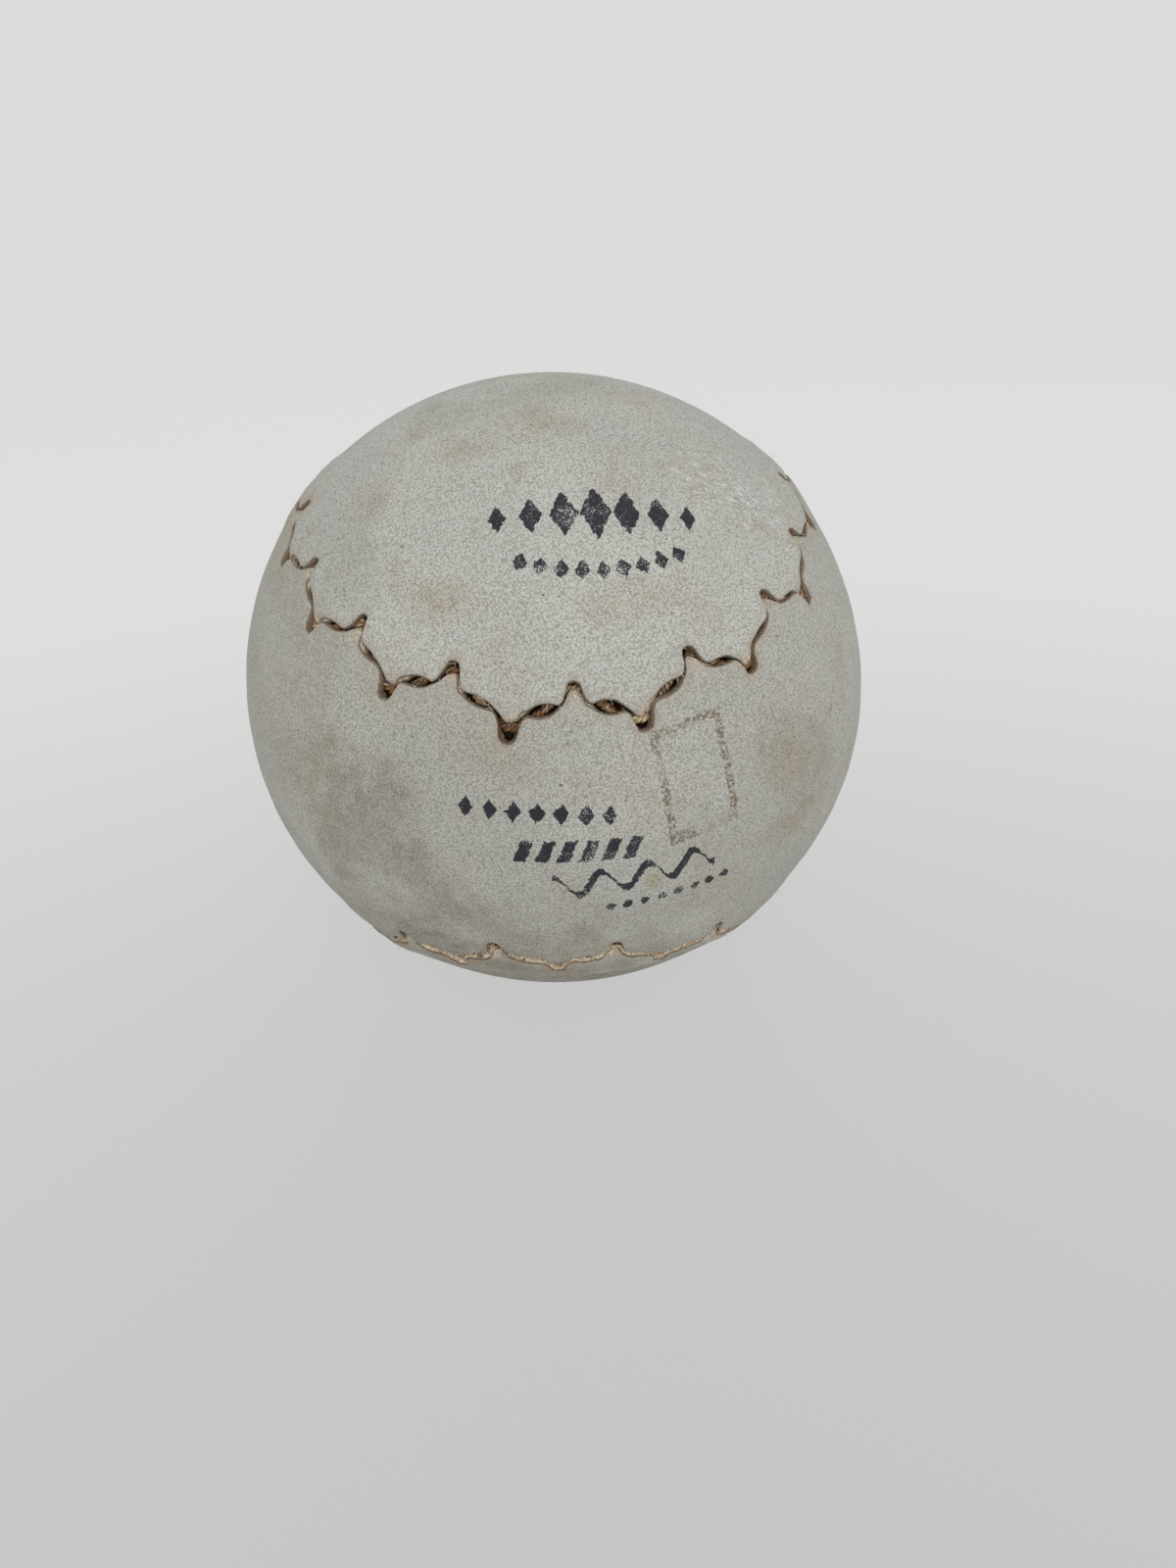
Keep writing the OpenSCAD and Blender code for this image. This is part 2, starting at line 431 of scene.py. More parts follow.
def thread(name, material):
    """A cord of three twisted strands that zigzags from hole to hole under the tabs."""
    fine = 80 * TABS  # points on its path before they are spaced evenly
    x = np.linspace(0, LENGTH, fine, endpoint=False)
    swing = -np.cos(tip_number(x) * math.pi)
    middle = on_seam(x, SWING_OUT * swing + sway(x))
    rise = 0.3 * smooth(abs(swing), 0.75, 0.0) + 0.28 * smooth(abs(swing), 0.9, 1.0)
    path = middle * (COAT + 0.56 + rise + 0.03 * smooth_noise(fine, 160, 31))[:, None]
    run = np.concatenate([[0], np.cumsum(np.linalg.norm(np.diff(path, axis=0), axis=1))])
    total = run[-1] + np.linalg.norm(path[0] - path[-1])
    count = int(total / 0.3)  # rings of vertices, 0.3 mm apart
    s = np.arange(count) * total / count
    loop = np.vstack([path, path[:1]])
    path = np.stack([np.interp(s, np.append(run, total), loop[:, c]) for c in range(3)], -1)
    along = unit(np.roll(path, -1, 0) - np.roll(path, 1, 0))
    up = unit(path)
    side = unit(np.cross(along, up))
    up = np.cross(side, along)
    turns = round(total / LAY)
    verts, faces, sides = [], [], 7
    i = np.arange(count)
    nxt = (i + 1) % count
    for ply in range(3):
        a = 2 * math.pi * (turns * s / total + ply / 3) + 0.5 * smooth_noise(count, 90, 41)
        c = path + HELIX * (np.cos(a)[:, None] * side + np.sin(a)[:, None] * up)
        r = STRAND * (1 + 0.07 * smooth_noise(count, 500, 50 + ply))
        base = ply * count * sides
        for j in range(sides):
            b = 2 * math.pi * j / sides
            verts.append(c + r[:, None] * (math.cos(b) * side + math.sin(b) * up))
        for j in range(sides):
            j1 = (j + 1) % sides
            low, high = base + j * count, base + j1 * count
            faces.append(np.stack([low + i, high + i, high + nxt, low + nxt], -1))
    attributes = {
        "run_mm": np.tile(s, sides * 3),
        "around": np.tile(np.repeat(np.arange(sides) / sides, count), 3),
        "ply": np.repeat([0, 0.5, 1], sides * count),
    }
    return make(name, np.concatenate(verts), np.concatenate(faces), material, attributes)


def fibres(name, material):
    """Short loose fibres that stand out of the cut edges, thickest along the lower front seam."""
    w = np.random.default_rng(77)
    count, joints, sides = 5200, 4, 3
    x = w.uniform(0, LENGTH, count)
    va, vb = edges(x)
    of_b = w.random(count) < 0.5
    foot = on_seam(x, np.where(of_b, vb, va))
    fuzzy = np.array([0.05, -0.85, -0.53])
    chance = 0.08 + 0.5 * np.exp(-(np.arccos(np.clip(foot @ fuzzy, -1, 1)) / 0.6) ** 2)
    tufts = smooth_noise(count, 90, 78)[np.argsort(np.argsort(x))] > 0.2
    keep = w.random(count) < chance * (0.4 + 1.2 * tufts)
    x, foot, of_b = x[keep], foot[keep], of_b[keep]
    count = len(x)
    along = unit(on_seam(x + 0.3, np.zeros(count)) - on_seam(x - 0.3, np.zeros(count)))
    across = np.cross(along, foot) * np.where(of_b, 1, -1)[:, None]
    lean = w.normal(0, 1, (count, 3)) * (0.8, 0.5, 0.3) + (0, 0.5, 0.35)
    start = unit(lean[:, :1] * along + lean[:, 1:2] * across + lean[:, 2:] * foot)
    curl = unit(w.normal(size=(count, 3))) * w.uniform(0.2, 0.9, (count, 1))
    length = w.uniform(0.3, 1.15, (count, 1)) ** 1.3
    root = foot * (BALL + lumps(foot) + ridge(0) - 0.32)[:, None]
    across = unit(np.cross(start, foot))
    up = np.cross(across, start)
    verts, faces = [], []
    for k in range(joints):
        f = k / (joints - 1)
        middle = root + length * f * (start + curl * f * 0.6)
        thick = 0.045 * (1 - 0.7 * f)
        for j in range(sides):
            a = 2 * math.pi * j / sides
            verts.append(middle + thick * (math.cos(a) * across + math.sin(a) * up))

    def at(k, j):
        return (k * sides + j % sides) * count + np.arange(count)

    for k in range(joints - 1):
        for j in range(sides):
            faces += np.stack([at(k, j), at(k, j + 1), at(k + 1, j + 1), at(k + 1, j)], -1).tolist()
    faces += np.stack([at(0, 2), at(0, 1), at(0, 0)], -1).tolist()
    faces += np.stack([at(joints - 1, 0), at(joints - 1, 1), at(joints - 1, 2)], -1).tolist()
    return make(name, np.concatenate(verts), faces, material)


# ---------------------------------------------------------------- materials
SOCKETS = {
    "color": "Base Color",
    "rough": "Roughness",
    "normal": "Normal",
    "spec": "Specular IOR Level",
    "sheen": "Sheen Weight",
    "glow": "Emission Strength",
}


class Nodes:
    """Builds a node tree from arithmetic; every value is a socket or a number."""

    def __init__(self, name):
        self.mat = bpy.data.materials.new(name)
        self.mat.use_nodes = True
        self.t = self.mat.node_tree
        self.bsdf = self.t.nodes["Principled BSDF"]

    def new(self, kind, **kw):
        node = self.t.nodes.new(kind)
        for k, v in kw.items():
            setattr(node, k, v)
        return node

    def put(self, socket, value):
        if hasattr(value, "is_output"):
            self.t.links.new(value, socket)
        elif isinstance(value, (tuple, list)) and len(value) == 3 and socket.type == "RGBA":
            socket.default_value = (*value, 1)
        else:
            socket.default_value = value

    def math(self, op, a, b=0.0, clamp=False):
        node = self.new("ShaderNodeMath", operation=op, use_clamp=clamp)
        self.put(node.inputs[0], a)
        self.put(node.inputs[1], b)
        return node.outputs[0]

    def add(self, a, b):
        return self.math("ADD", a, b)

    def sub(self, a, b):
        return self.math("SUBTRACT", a, b)

    def mul(self, first, *rest):
        """Product of two or more values."""
        for value in rest:
            first = self.math("MULTIPLY", first, value)
        return first

    def most(self, a, b):
        return self.math("MAXIMUM", a, b)

    def abs(self, a):
        return self.math("ABSOLUTE", a)

    def clamp(self, a):
        return self.math("ADD", a, 0.0, clamp=True)

    def remap(self, a, lo, hi, to_lo=0.0, to_hi=1.0):
        """Goes smoothly from to_lo at lo to to_hi at hi; lo may be above hi."""
        node = self.new("ShaderNodeMapRange", interpolation_type="SMOOTHSTEP")
        for i, v in enumerate((a, lo, hi, to_lo, to_hi)):
            self.put(node.inputs[i], v)
        return node.outputs[0]

    def place(self):
        """The point on the object, in mm."""
        coord = self.new("ShaderNodeTexCoord").outputs["Object"]
        return self.vec("MULTIPLY", coord, (1 / MM, 1 / MM, 1 / MM))

    def vec(self, op, a, b=(0, 0, 0)):
        node = self.new("ShaderNodeVectorMath", operation=op)
        self.put(node.inputs[0], a)
        self.put(node.inputs[1], b)
        return node.outputs["Value"] if op in ("DOT_PRODUCT", "LENGTH", "DISTANCE") else node.outputs[0]

    def join(self, x, y, z):
        node = self.new("ShaderNodeCombineXYZ")
        for socket, value in zip(node.inputs, (x, y, z)):
            self.put(socket, value)
        return node.outputs[0]

    def noise(self, at, size, detail=2.0, rough=0.5, distort=0.0):
        """Noise with features about size mm across."""
        node = self.new("ShaderNodeTexNoise")
        self.put(node.inputs["Vector"], at)
        node.inputs["Scale"].default_value = 1 / size
        node.inputs["Detail"].default_value = detail
        node.inputs["Roughness"].default_value = rough
        node.inputs["Distortion"].default_value = distort
        return node.outputs["Fac"]

    def cells(self, at, size):
        """Distance from the middle of the nearest of many cells about size mm across."""
        node = self.new("ShaderNodeTexVoronoi")
        self.put(node.inputs["Vector"], at)
        node.inputs["Scale"].default_value = 1 / size
        return node.outputs["Distance"]

    def attr(self, name):
        return self.new("ShaderNodeAttribute", attribute_name=name).outputs["Fac"]

    def mix(self, fac, a, b):
        """Colour a where fac is 0 and colour b where it is 1."""
        node = self.new("ShaderNodeMix", data_type="RGBA")
        self.put(node.inputs[0], fac)
        self.put(node.inputs[6], a)
        self.put(node.inputs[7], b)
        return node.outputs[2]

    def bump(self, height, strength, distance):
        node = self.new("ShaderNodeBump")
        self.put(node.inputs["Height"], height)
        node.inputs["Strength"].default_value = strength
        node.inputs["Distance"].default_value = distance * MM
        return node.outputs[0]

    def set(self, **kw):
        """Gives the shader its values and returns the finished material."""
        for k, v in kw.items():
            self.put(self.bsdf.inputs[SOCKETS[k]], v)
        return self.mat


def tangent(lon, lat, turn=0):
    """Centre and the two directions of a place on the ball, from degrees round from -Y and up."""
    a, b, t = (math.radians(d) for d in (lon, lat, turn))
    c = Vector((math.sin(a) * math.cos(b), -math.cos(a) * math.cos(b), math.sin(b)))
    e = Vector((math.cos(a), math.sin(a), 0))
    n = c.cross(e)
    return c, e * math.cos(t) + n * math.sin(t), n * math.cos(t) - e * math.sin(t)


def patch(n, p, ragged, lon, lat, width, height, turn=0):
    """1 in the middle of an elliptical patch on the ball, fading to 0 at its ragged edge."""
    centre, right, up = tangent(lon, lat, turn)
    across = n.mul(n.vec("DOT_PRODUCT", p, right), 2 / width)
    upward = n.mul(n.vec("DOT_PRODUCT", p, up), 2 / height)
    behind = n.mul(n.sub(BALL, n.vec("DOT_PRODUCT", p, centre)), 0.05)
    return n.remap(n.add(n.vec("LENGTH", n.join(across, upward, behind)), ragged), 1.0, 0.25)


def printed(n, p, lon, lat, turn=0):
    """Sideways and upward distance in mm from a place on the ball, and 1 on its side of the ball."""
    centre, right, up = tangent(lon, lat, turn)
    front = n.math("GREATER_THAN", n.vec("DOT_PRODUCT", p, centre), BALL / 2)
    return n.vec("DOT_PRODUCT", p, right), n.vec("DOT_PRODUCT", p, up), front


def inside(n, distance):
    """1 where a distance in mm from an outline is negative."""
    return n.remap(distance, 0.07, -0.07)


def in_row(n, u, pitch, count):
    """Distance from the middle of the nearest of count equal places along u, and 1 within the row."""
    shifted = u if count % 2 else n.add(u, pitch / 2)
    step = n.math("PINGPONG", shifted, pitch / 2)
    return step, n.math("LESS_THAN", n.abs(u), pitch * count / 2)


def ornament(n, p):
    """Plain printed ornament: lozenges, beads, slanted bars and a wave, in worn ink."""
    marks = []
    # a row of lozenges that shrink outwards
    u, v, front = printed(n, p, 7.1, 48.9, -6)
    step, row = in_row(n, u, 3.7, 7)
    size = n.sub(3.5, n.mul(n.abs(u), 0.16))
    lozenge = n.sub(n.add(n.mul(step, 1.75), n.abs(v)), size)
    marks.append(n.mul(inside(n, lozenge), row, front))
    # beads on an arc below them
    u, v, front = printed(n, p, 6.3, 40.4, -3)
    radius = 24
    rise = n.sub(radius, v)
    along = n.mul(n.math("ARCTAN2", u, rise), radius)
    off = n.sub(radius, n.math("SQRT", n.add(n.mul(u, u), n.mul(rise, rise))))
    step, row = in_row(n, along, 2.3, 9)
    bead = n.sub(n.add(n.mul(step, 1.25), n.abs(off)), 1.15)
    marks.append(n.mul(inside(n, bead), row, front))
    # small lozenges on the waist
    u, v, front = printed(n, p, -6.1, 9.0, -5)
    step, row = in_row(n, u, 2.7, 7)
    lozenge = n.sub(n.add(n.mul(step, 1.5), n.abs(v)), 1.35)
    marks.append(n.mul(inside(n, lozenge), row, front))
    # slanted bars
    u, v, front = printed(n, p, -0.9, 2.9, -2)
    step, row = in_row(n, n.sub(u, n.mul(v, 0.35)), 2.5, 6)
    bar = n.most(n.sub(step, 0.72), n.sub(n.abs(v), 1.45))
    marks.append(n.mul(inside(n, bar), row, front))
    # a wave that swells and thins
    u, v, front = printed(n, p, 7.2, -2.4, 4)
    turn = n.mul(u, 2 * math.pi / 5.6)
    thick = n.add(0.55, n.mul(n.math("COSINE", turn), 0.3))
    stroke = n.sub(n.abs(n.sub(v, n.mul(n.math("SINE", turn), 1.5))), thick)
    marks.append(n.mul(inside(n, stroke), n.math("LESS_THAN", n.abs(u), 9.8), front))
    # dots
    u, v, front = printed(n, p, 12.2, -7.3, 5)
    step, row = in_row(n, u, 2.1, 8)
    dot = n.sub(n.math("SQRT", n.add(n.mul(step, step), n.mul(v, v))), 0.62)
    marks.append(n.mul(inside(n, dot), row, front))
    total = marks[0]
    for m in marks[1:]:
        total = n.most(total, m)
    return total


def streaks(n, p, lon, lat, turn, length, width):
    """Noise drawn out into streaks along one direction."""
    centre, right, up = tangent(lon, lat, turn)
    along = n.mul(n.vec("DOT_PRODUCT", p, right), 1 / length)
    across = n.mul(n.vec("DOT_PRODUCT", p, up), 1 / width)
    inward = n.mul(n.vec("DOT_PRODUCT", p, centre), 1 / length)
    return n.noise(n.join(along, across, inward), 1.0, 2, 0.6)


BROWN, DRAB_STAIN_AND_SHADE, SOIL_AND_SHADE = (0.40, 0.325, 0.215), (0.30, 0.275, 0.22), (0.13, 0.10, 0.07)
# Stains, with broad drab and soil patches on the lower sides and underneath that are painted shade as well
# as dirt: colour, strength, degrees round and up, mm across and high, degrees turned
STAINS_AND_SHADE = (
    (BROWN, 0.42, -26, 61, 13, 7, 20),
    (BROWN, 0.40, 0, 67, 16, 8, -10),
    (BROWN, 0.34, -48, 51, 12, 9, 30),
    (BROWN, 0.45, -25, 38, 15, 7, -15),
    (BROWN, 0.30, 10, 36, 17, 7, 0),
    (DRAB_STAIN_AND_SHADE, 0.30, -52, 68, 18, 12, 0),
    (BROWN, 0.38, -40, 8, 14, 20, 10),
    # painted shade as well as dirt: the broad drab patches at the lower left and lower right darken those
    # sides
    (DRAB_STAIN_AND_SHADE, 0.74, -31, 8, 24, 18, -35),
    (DRAB_STAIN_AND_SHADE, 0.52, -30, -2, 30, 16, -10),
    (BROWN, 0.30, -13, 17, 17, 9, 0),
    (DRAB_STAIN_AND_SHADE, 0.46, 35, 6, 22, 26, 25),
    (BROWN, 0.42, 32, 8, 10, 12, 35),
    (BROWN, 0.55, 36, -3, 7, 8, 35),
    (SOIL_AND_SHADE, 0.40, 44, 12, 3.2, 1.8, 50),
    (SOIL_AND_SHADE, 0.75, 13.4, 3.4, 4.0, 1.1, 12),
    (BROWN, 0.65, 9.6, -4, 3.5, 3.5, 0),
    (BROWN, 0.30, 33, -25, 14, 9, 30),
    # painted shade as well as dirt: the broad drab and soil patches below darken the underside and the left
    # side
    (DRAB_STAIN_AND_SHADE, 0.35, -20, -14, 34, 14, -12),
    (SOIL_AND_SHADE, 0.70, -4, -33, 70, 19, 0),
    (DRAB_STAIN_AND_SHADE, 0.25, -44, 20, 20, 60, 0),
    (DRAB_STAIN_AND_SHADE, 0.62, -14, -24, 84, 34, -8),
    (SOIL_AND_SHADE, 0.30, -24, -20, 30, 9, -15),
    (BROWN, 0.45, -75, 40, 16, 22, 0),
    (BROWN, 0.40, -62, 33, 8, 10, 0),
    (DRAB_STAIN_AND_SHADE, 0.28, 12, 78, 34, 16, 0),
    (BROWN, 0.40, 120, 30, 26, 15, 20),
    (DRAB_STAIN_AND_SHADE, 0.40, 165, -10, 30, 18, -25),
    (BROWN, 0.35, -120, 5, 24, 20, 40),
    (DRAB_STAIN_AND_SHADE, 0.32, 90, -20, 26, 18, 0),
    (BROWN, 0.40, -150, 48, 22, 14, 0),
)


def leather_material(name, tone):
    """Old pale leather: grain, stains, scuffs, worn ornament and bare fibre where it is cut, with painted
    shade and highlights on the grain, and painted shade on the lower half, at the seam's edge and on the
    cut faces.
    """
    n = Nodes(name)
    p = n.place()
    big = n.noise(p, 24, 3, 0.55)
    mid = n.noise(p, 7, 4, 0.6)
    small = n.noise(p, 2.0, 3, 0.65)
    fine = n.noise(p, 0.17, 2, 0.6)
    pebble = n.cells(p, 0.27)
    ragged = n.mul(n.sub(mid, 0.5), 2.4)

    color = n.mix(n.remap(big, 0.35, 0.65), tuple(c * 0.93 for c in tone), tuple(c * 1.03 for c in tone))
    # rubbed paler here and there, and darker in broad faint blotches
    color = n.mix(n.remap(n.noise(p, 13, 4, 0.6, 0.5), 0.5, 0.72, 0, 0.30), color, (0.62, 0.61, 0.56))
    cloud = n.remap(n.noise(n.vec("ADD", p, (40, 7, 3)), 10, 5, 0.68, 0.6), 0.50, 0.70)
    blotch = n.mul(cloud, n.remap(small, 0.3, 0.7, 0.4, 1))
    color = n.mix(n.mul(blotch, 0.5), color, BROWN)
    uneven = n.remap(small, 0.3, 0.65, 0.55, 1.3)
    # stains, and painted shade on the lower half, from the same table
    for tint, strength, *where in STAINS_AND_SHADE:
        color = n.mix(n.mul(patch(n, p, ragged, *where), strength, uneven), color, tint)
    # the grain: painted shade in the creases and painted highlights on the bumps, in place of the shading
    # of its fine relief
    crease_shade = n.remap(n.add(pebble, n.mul(fine, 0.6)), 0.5, 1.05)
    color = n.mix(n.mul(crease_shade, 0.58), color, (0.16, 0.15, 0.125))
    # painted highlight on the raised bumps of the grain
    color = n.mix(n.remap(fine, 0.5, 0.7, 0, 0.35), color, (0.84, 0.83, 0.79))
    # specks of dirt in the grain and a few short marks
    speck = n.remap(n.noise(p, 0.5, 2, 0.5), 0.70, 0.73)
    speck = n.mul(speck, n.remap(n.noise(p, 5, 2), 0.48, 0.6, 0.1, 1))
    color = n.mix(n.mul(speck, 0.8), color, (0.07, 0.05, 0.035))
    freckle = n.remap(n.noise(p, 0.3, 1), 0.66, 0.72)
    freckle = n.mul(freckle, n.remap(n.noise(p, 6, 3, 0.6), 0.42, 0.62, 0.15, 1))
    color = n.mix(n.mul(freckle, 0.6), color, (0.14, 0.105, 0.07))
    nick = n.remap(streaks(n, p, -20, 20, -65, 1.6, 0.3), 0.69, 0.74)
    nick = n.mul(nick, n.remap(n.noise(p, 9, 2), 0.5, 0.58))
    color = n.mix(n.mul(nick, 0.6), color, (0.12, 0.09, 0.06))
    # pale scuffs high on one side
    scuff = n.remap(streaks(n, p, 42, 47, -48, 1.3, 0.5), 0.55, 0.62)
    scuff = n.mul(scuff, patch(n, p, ragged, 42, 46, 26, 19, -48))
    color = n.mix(n.mul(scuff, 0.5), color, (0.80, 0.79, 0.74))
    # a faint rubbed-off frame
    wobble = n.new("ShaderNodeTexNoise")
    n.put(wobble.inputs["Vector"], p)
    wobble.inputs["Scale"].default_value = 1 / 0.7
    push = n.vec("MULTIPLY", n.vec("SUBTRACT", wobble.outputs["Color"], (0.5, 0.5, 0.5)), (0.9, 0.9, 0.9))
    rough = n.vec("ADD", p, push)
    u, v, front = printed(n, rough, 16, 11, 8)
    outline = n.sub(n.abs(n.most(n.sub(n.abs(u), 4.0), n.sub(n.abs(v), 6.8))), 0.5)
    worn = n.mul(n.remap(n.noise(p, 0.4, 2, 0.6), 0.44, 0.52), n.remap(n.noise(p, 4.5, 2), 0.34, 0.46))
    color = n.mix(n.mul(inside(n, outline), front, worn, 0.8), color, (0.15, 0.10, 0.05))
    # printed ornament, missing where the grain stands high or the leather has rubbed
    ink = n.mul(ornament(n, rough), n.remap(n.add(fine, n.mul(n.noise(p, 3, 2), 0.6)), 1.02, 0.88))
    color = n.mix(n.mul(ink, 0.98), color, (0.009, 0.010, 0.018))
    # dirt beside the seam, painted shade along its very edge, and bare fibres on the cut edges, painted
    # dark where they face into the seam
    near = n.attr("edge_mm")
    grime = n.mul(n.remap(near, 1.5, 0.0), n.remap(small, 0.35, 0.65, 0.10, 0.5))
    color = n.mix(grime, color, (0.36, 0.28, 0.19))
    # painted shade: a thin dark line where the leather curls down into the seam
    color = n.mix(n.remap(near, 0.22, 0.02, 0, 0.75), color, (0.10, 0.06, 0.035))
    drawn_out = n.noise(n.vec("MULTIPLY", p, (3, 1, 0.8)), 0.4, 3, 0.7)
    fibre = n.mul(n.add(n.noise(p, 0.2, 4, 0.7, 0.8), drawn_out), 0.5)
    bare = n.mix(n.remap(fibre, 0.42, 0.58), (0.24, 0.15, 0.08), (0.84, 0.75, 0.58))
    # painted shade: cut faces that have not sprung open, their deeper rows and the flesh side underneath
    # turn dark brown
    shaded = n.mul(n.sub(1.0, n.attr("unshaded_flank")), 0.85)
    bare = n.mix(n.most(shaded, n.remap(n.noise(p, 0.9, 2), 0.60, 0.72)), bare, (0.12, 0.07, 0.04))
    color = n.mix(n.clamp(n.mul(n.attr("cut"), 1.1)), color, bare)
    height = n.add(n.mul(pebble, -0.9), n.add(n.mul(fine, 0.7), n.mul(small, 0.4)))
    gloss = n.sub(n.remap(mid, 0.3, 0.7, 0.70, 0.84), n.mul(ink, 0.22))
    return n.set(color=color, rough=gloss, normal=n.bump(height, 0.55, 0.13), spec=0.32)


def fibre_material():
    """Loose leather fibre, from brown to straw."""
    n = Nodes("edge_fibre")
    p = n.place()
    color = n.mix(n.remap(n.noise(p, 0.8, 3, 0.6), 0.35, 0.65), (0.36, 0.26, 0.16), (0.78, 0.71, 0.56))
    return n.set(color=color, rough=0.8, spec=0.2)


def thread_material():
    """Dark waxed thread whose wax has worn off to pale hairs here and there."""
    n = Nodes("waxed_thread")
    p = n.place()
    tint = n.noise(p, 1.6, 3, 0.6)
    around = n.mul(n.abs(n.sub(n.attr("around"), 0.5)), 9)
    hair = n.noise(n.join(n.mul(n.attr("run_mm"), 0.8), around, n.mul(n.attr("ply"), 7)), 0.8, 3, 0.7)
    color = n.mix(n.remap(tint, 0.36, 0.62), (0.035, 0.016, 0.008), (0.23, 0.10, 0.035))
    pale = n.remap(n.add(n.mul(hair, 0.8), n.mul(n.noise(p, 2.6, 1), 0.6)), 0.70, 0.86)
    color = n.mix(pale, color, (0.86, 0.72, 0.46))
    return n.set(color=color, rough=0.5, normal=n.bump(hair, 0.6, 0.1), spec=0.4)


def yarn_material(name, dark, light, pitch, axes):
    """Wound yarn: two sets of strands, pitch mm apart, that lie across the two axes."""
    n = Nodes(name)
    p = n.place()
    lines = []
    for axis in axes:
        along = n.vec("DOT_PRODUCT", p, Vector(axis).normalized())
        lines.append(n.math("SINE", n.mul(along, 2 * math.pi / pitch)))
    over = n.remap(n.noise(p, 9, 1), 0.45, 0.55)
    wave = n.add(n.mul(lines[0], over), n.mul(lines[1], n.sub(1.0, over)))
    fuzz = n.noise(p, 0.5, 4, 0.7)
    color = n.mix(n.remap(n.add(wave, n.mul(fuzz, 0.6)), -0.8, 1.2), dark, light)
    return n.set(color=color, rough=0.9, normal=n.bump(n.add(wave, fuzz), 0.8, 0.4), sheen=0.2)


def latex_material():
    """Dull dark dipped rubber."""
    n = Nodes("latex")
    p = n.place()
    drip = n.noise(p, 7, 4, 0.6)
    color = n.mix(n.remap(drip, 0.35, 0.65), (0.022, 0.011, 0.005), (0.055, 0.030, 0.015))
    return n.set(color=color, rough=0.9, normal=n.bump(n.noise(p, 1.4, 3), 0.5, 0.3), spec=0.08)


def kapok_material():
    """Pressed plant fibre."""
    n = Nodes("kapok_fibre")
    p = n.place()
    fibre = n.noise(p, 0.8, 5, 0.75, 1.5)
    color = n.mix(n.remap(fibre, 0.3, 0.7), (0.42, 0.31, 0.16), (0.74, 0.63, 0.42))
    return n.set(color=color, rough=0.95, normal=n.bump(fibre, 0.8, 0.5), sheen=0.3)


# ---------------------------------------------------------------- pieces
panel_a = panel("leather_panel_a", False, leather_material("panel_leather_a", (0.545, 0.55, 0.51)))
panel_b = panel("leather_panel_b", True, leather_material("panel_leather_b", (0.475, 0.473, 0.43)))
cord = thread("laced_thread", thread_material())
pieces = (
    (panel_a, "cover_panel_a", "panel_leather"),
    (panel_b, "cover_panel_b", "panel_leather"),
    (cord, "seam_thread", "waxed_thread"),
)
for obj, node, slot in pieces:
    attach(obj, "root")
    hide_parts(node)

fuzz = fibres("edge_fibres", fibre_material())
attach(fuzz, "root")

# Yarn: dark and light colour, mm between strands, and the axes the strands lie across
FINE_YARN = (0.45, 0.42, 0.34), (0.83, 0.80, 0.72), 0.9, ((1, 0.3, 0.1), (-0.2, 1, 0.4))
COARSE_YARN = (0.40, 0.36, 0.27), (0.78, 0.73, 0.62), 1.8, ((0.2, 0.1, 1), (1, -0.5, 0.3))
inner = {
    "latex_coat": latex_material(),
    "fine_winding": yarn_material("fine_yarn", *FINE_YARN),
    "coarse_winding": yarn_material("coarse_yarn", *COARSE_YARN),
    "fibre_core": kapok_material(),
}
for node, material in inner.items():
    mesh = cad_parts[node].data
    mesh.materials.clear()
    mesh.materials.append(material)

# ---------------------------------------------------------------- stage, lights and camera
GROUND = BALL * MM  # metres from the middle of the ball down to the floor
FLOOR, WALL, TOP = 0.85, 1.3, 1.4  # radius of the flat floor, radius and height of the wall, in metres
AROUND = 96


def glowing_paper_material():
    """Paper that glows so that the ball's shadow on it stays faint, dimmer towards the front as a painted
    shadow.
    """
    n = Nodes("paper")
    away = n.vec("DISTANCE", n.place(), (0, -250, -BALL))
    # painted light: the glow fills in the ball's shadow, and its fall towards the front is a painted shadow
    n.bsdf.inputs["Emission Color"].default_value = (1, 1, 0.995, 1)
    return n.set(color=(0.15, 0.15, 0.149), rough=0.9, spec=0.1, glow=n.remap(away, 0, 480, 0.37, 0.60))


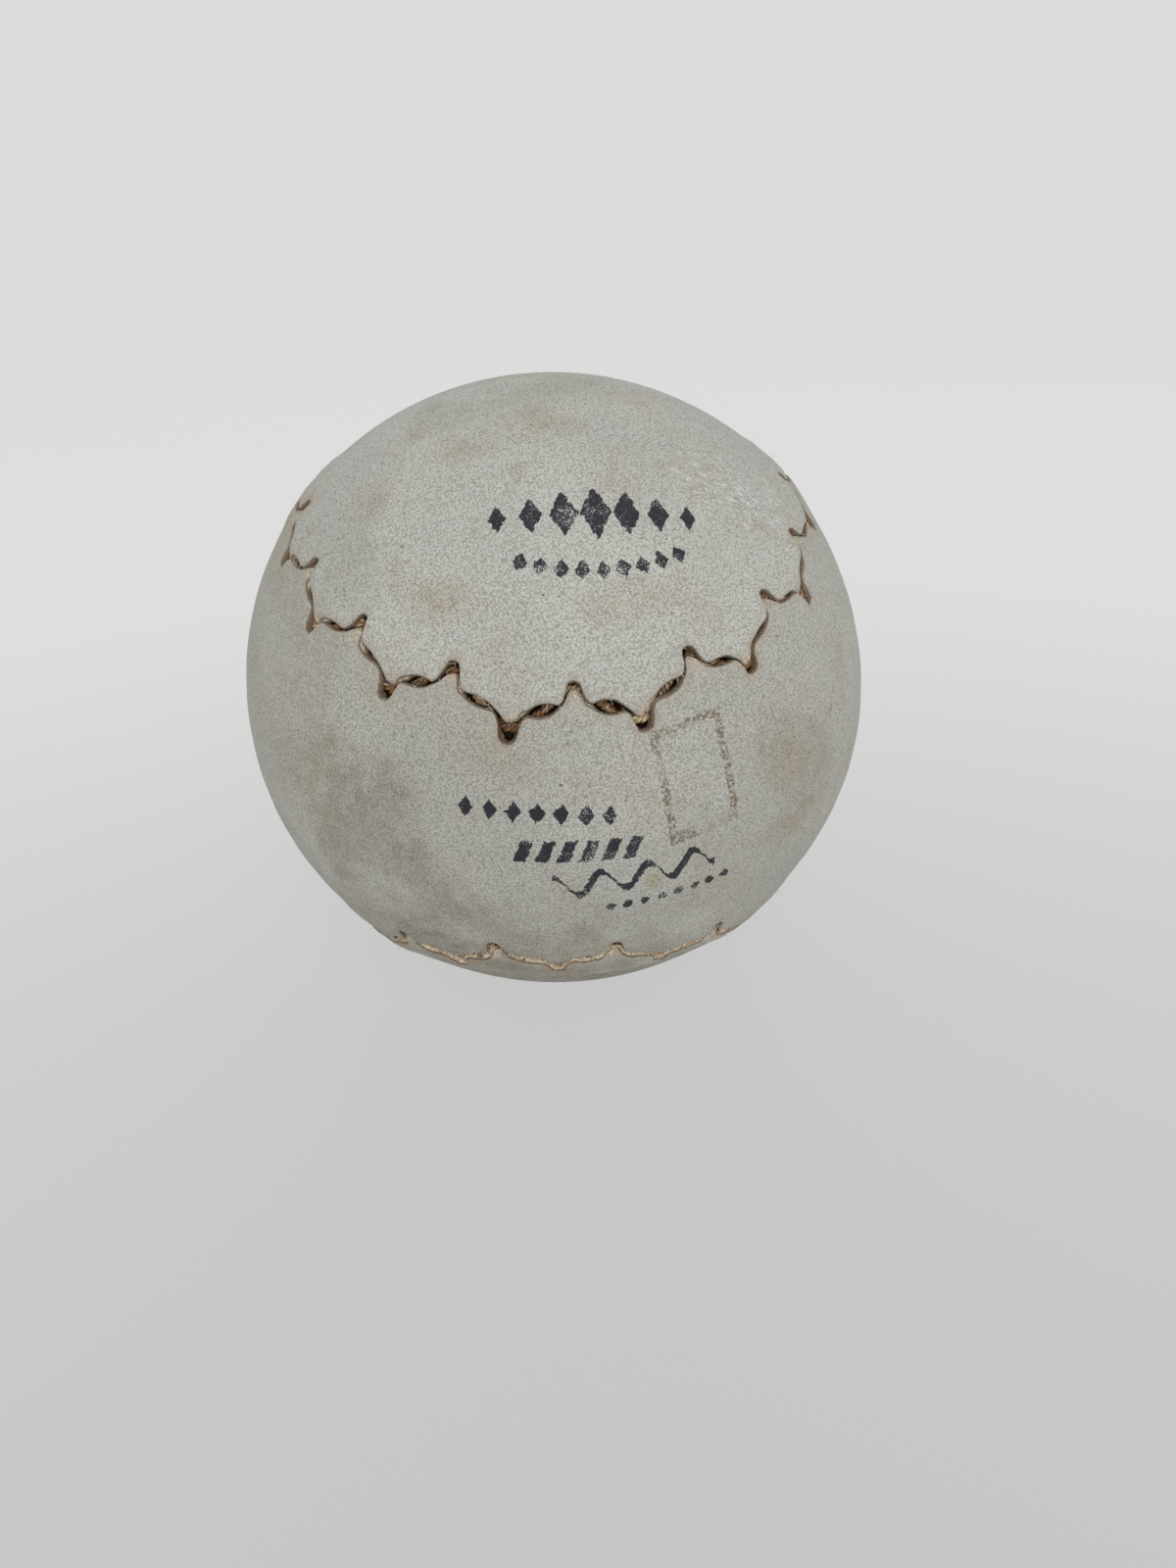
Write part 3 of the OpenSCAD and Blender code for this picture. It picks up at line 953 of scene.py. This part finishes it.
def cove():
    """Round paper floor that curves up into a wall all round."""
    bend = WALL - FLOOR
    line = [(FLOOR * k / 8, 0) for k in range(1, 9)]
    for a in np.linspace(0, math.pi / 2, 24)[1:]:
        line.append((FLOOR + bend * math.sin(a), bend - bend * math.cos(a)))
    line.append((WALL, TOP))
    below = GROUND + 0.0001
    verts = [(0, 0, -below)]
    for out, up in line:
        for a in np.arange(AROUND) * 2 * math.pi / AROUND:
            verts.append((out * math.cos(a), out * math.sin(a), up - below))

    def at(k, j):
        return 1 + k * AROUND + j % AROUND

    faces = [(0, at(0, j), at(0, j + 1)) for j in range(AROUND)]
    for k in range(len(line) - 1):
        faces += [(at(k, j), at(k + 1, j), at(k + 1, j + 1), at(k, j + 1)) for j in range(AROUND)]
    return make("cove", np.array(verts) / MM, faces, glowing_paper_material())


cove()


def lamp(name, size, power, place):
    """A round soft light, size metres across, that shines at the ball."""
    data = bpy.data.lights.new(name, "AREA")
    data.shape = "DISK"
    data.size = size
    data.energy = power
    obj = bpy.data.objects.new(name, data)
    obj.location = place
    obj.rotation_euler = (-Vector(place)).to_track_quat("-Z", "Y").to_euler()
    obj.visible_camera = False
    bpy.context.scene.collection.objects.link(obj)


lamp("overhead", 1.3, 1.2, (0.1, 0.1, 1.0))
lamp("front", 0.9, 4.4, (0.08, -0.8, 0.62))

world = bpy.data.worlds.new("studio")
world.use_nodes = True
sky = world.node_tree.nodes["Background"]
sky.inputs["Color"].default_value = (1, 1, 1, 1)
sky.inputs["Strength"].default_value = 0.45
bpy.context.scene.world = world

DIST = 2.70  # from the middle of the ball, in ball radii
ELEV, AZIM, ROLL = (math.radians(a) for a in (26.9, -3.1, 2.8))
back = Vector((math.sin(AZIM) * math.cos(ELEV), -math.cos(AZIM) * math.cos(ELEV), math.sin(ELEV)))
cam_data = bpy.data.cameras.new("camera")
cam_data.sensor_fit = "VERTICAL"
cam_data.sensor_height = 36
cam_data.lens = 17.674
cam_data.shift_x = 0.022
cam_data.shift_y = -0.068
cam_data.clip_start = 0.01
camera = bpy.data.objects.new("camera", cam_data)
turn = (-back).to_track_quat("-Z", "Y").to_matrix() @ Matrix.Rotation(-ROLL, 3, "Z")
camera.matrix_world = Matrix.Translation(back * DIST * GROUND) @ turn.to_4x4()
bpy.context.scene.collection.objects.link(camera)
bpy.context.scene.camera = camera
bpy.context.scene.view_settings.view_transform = "Standard"
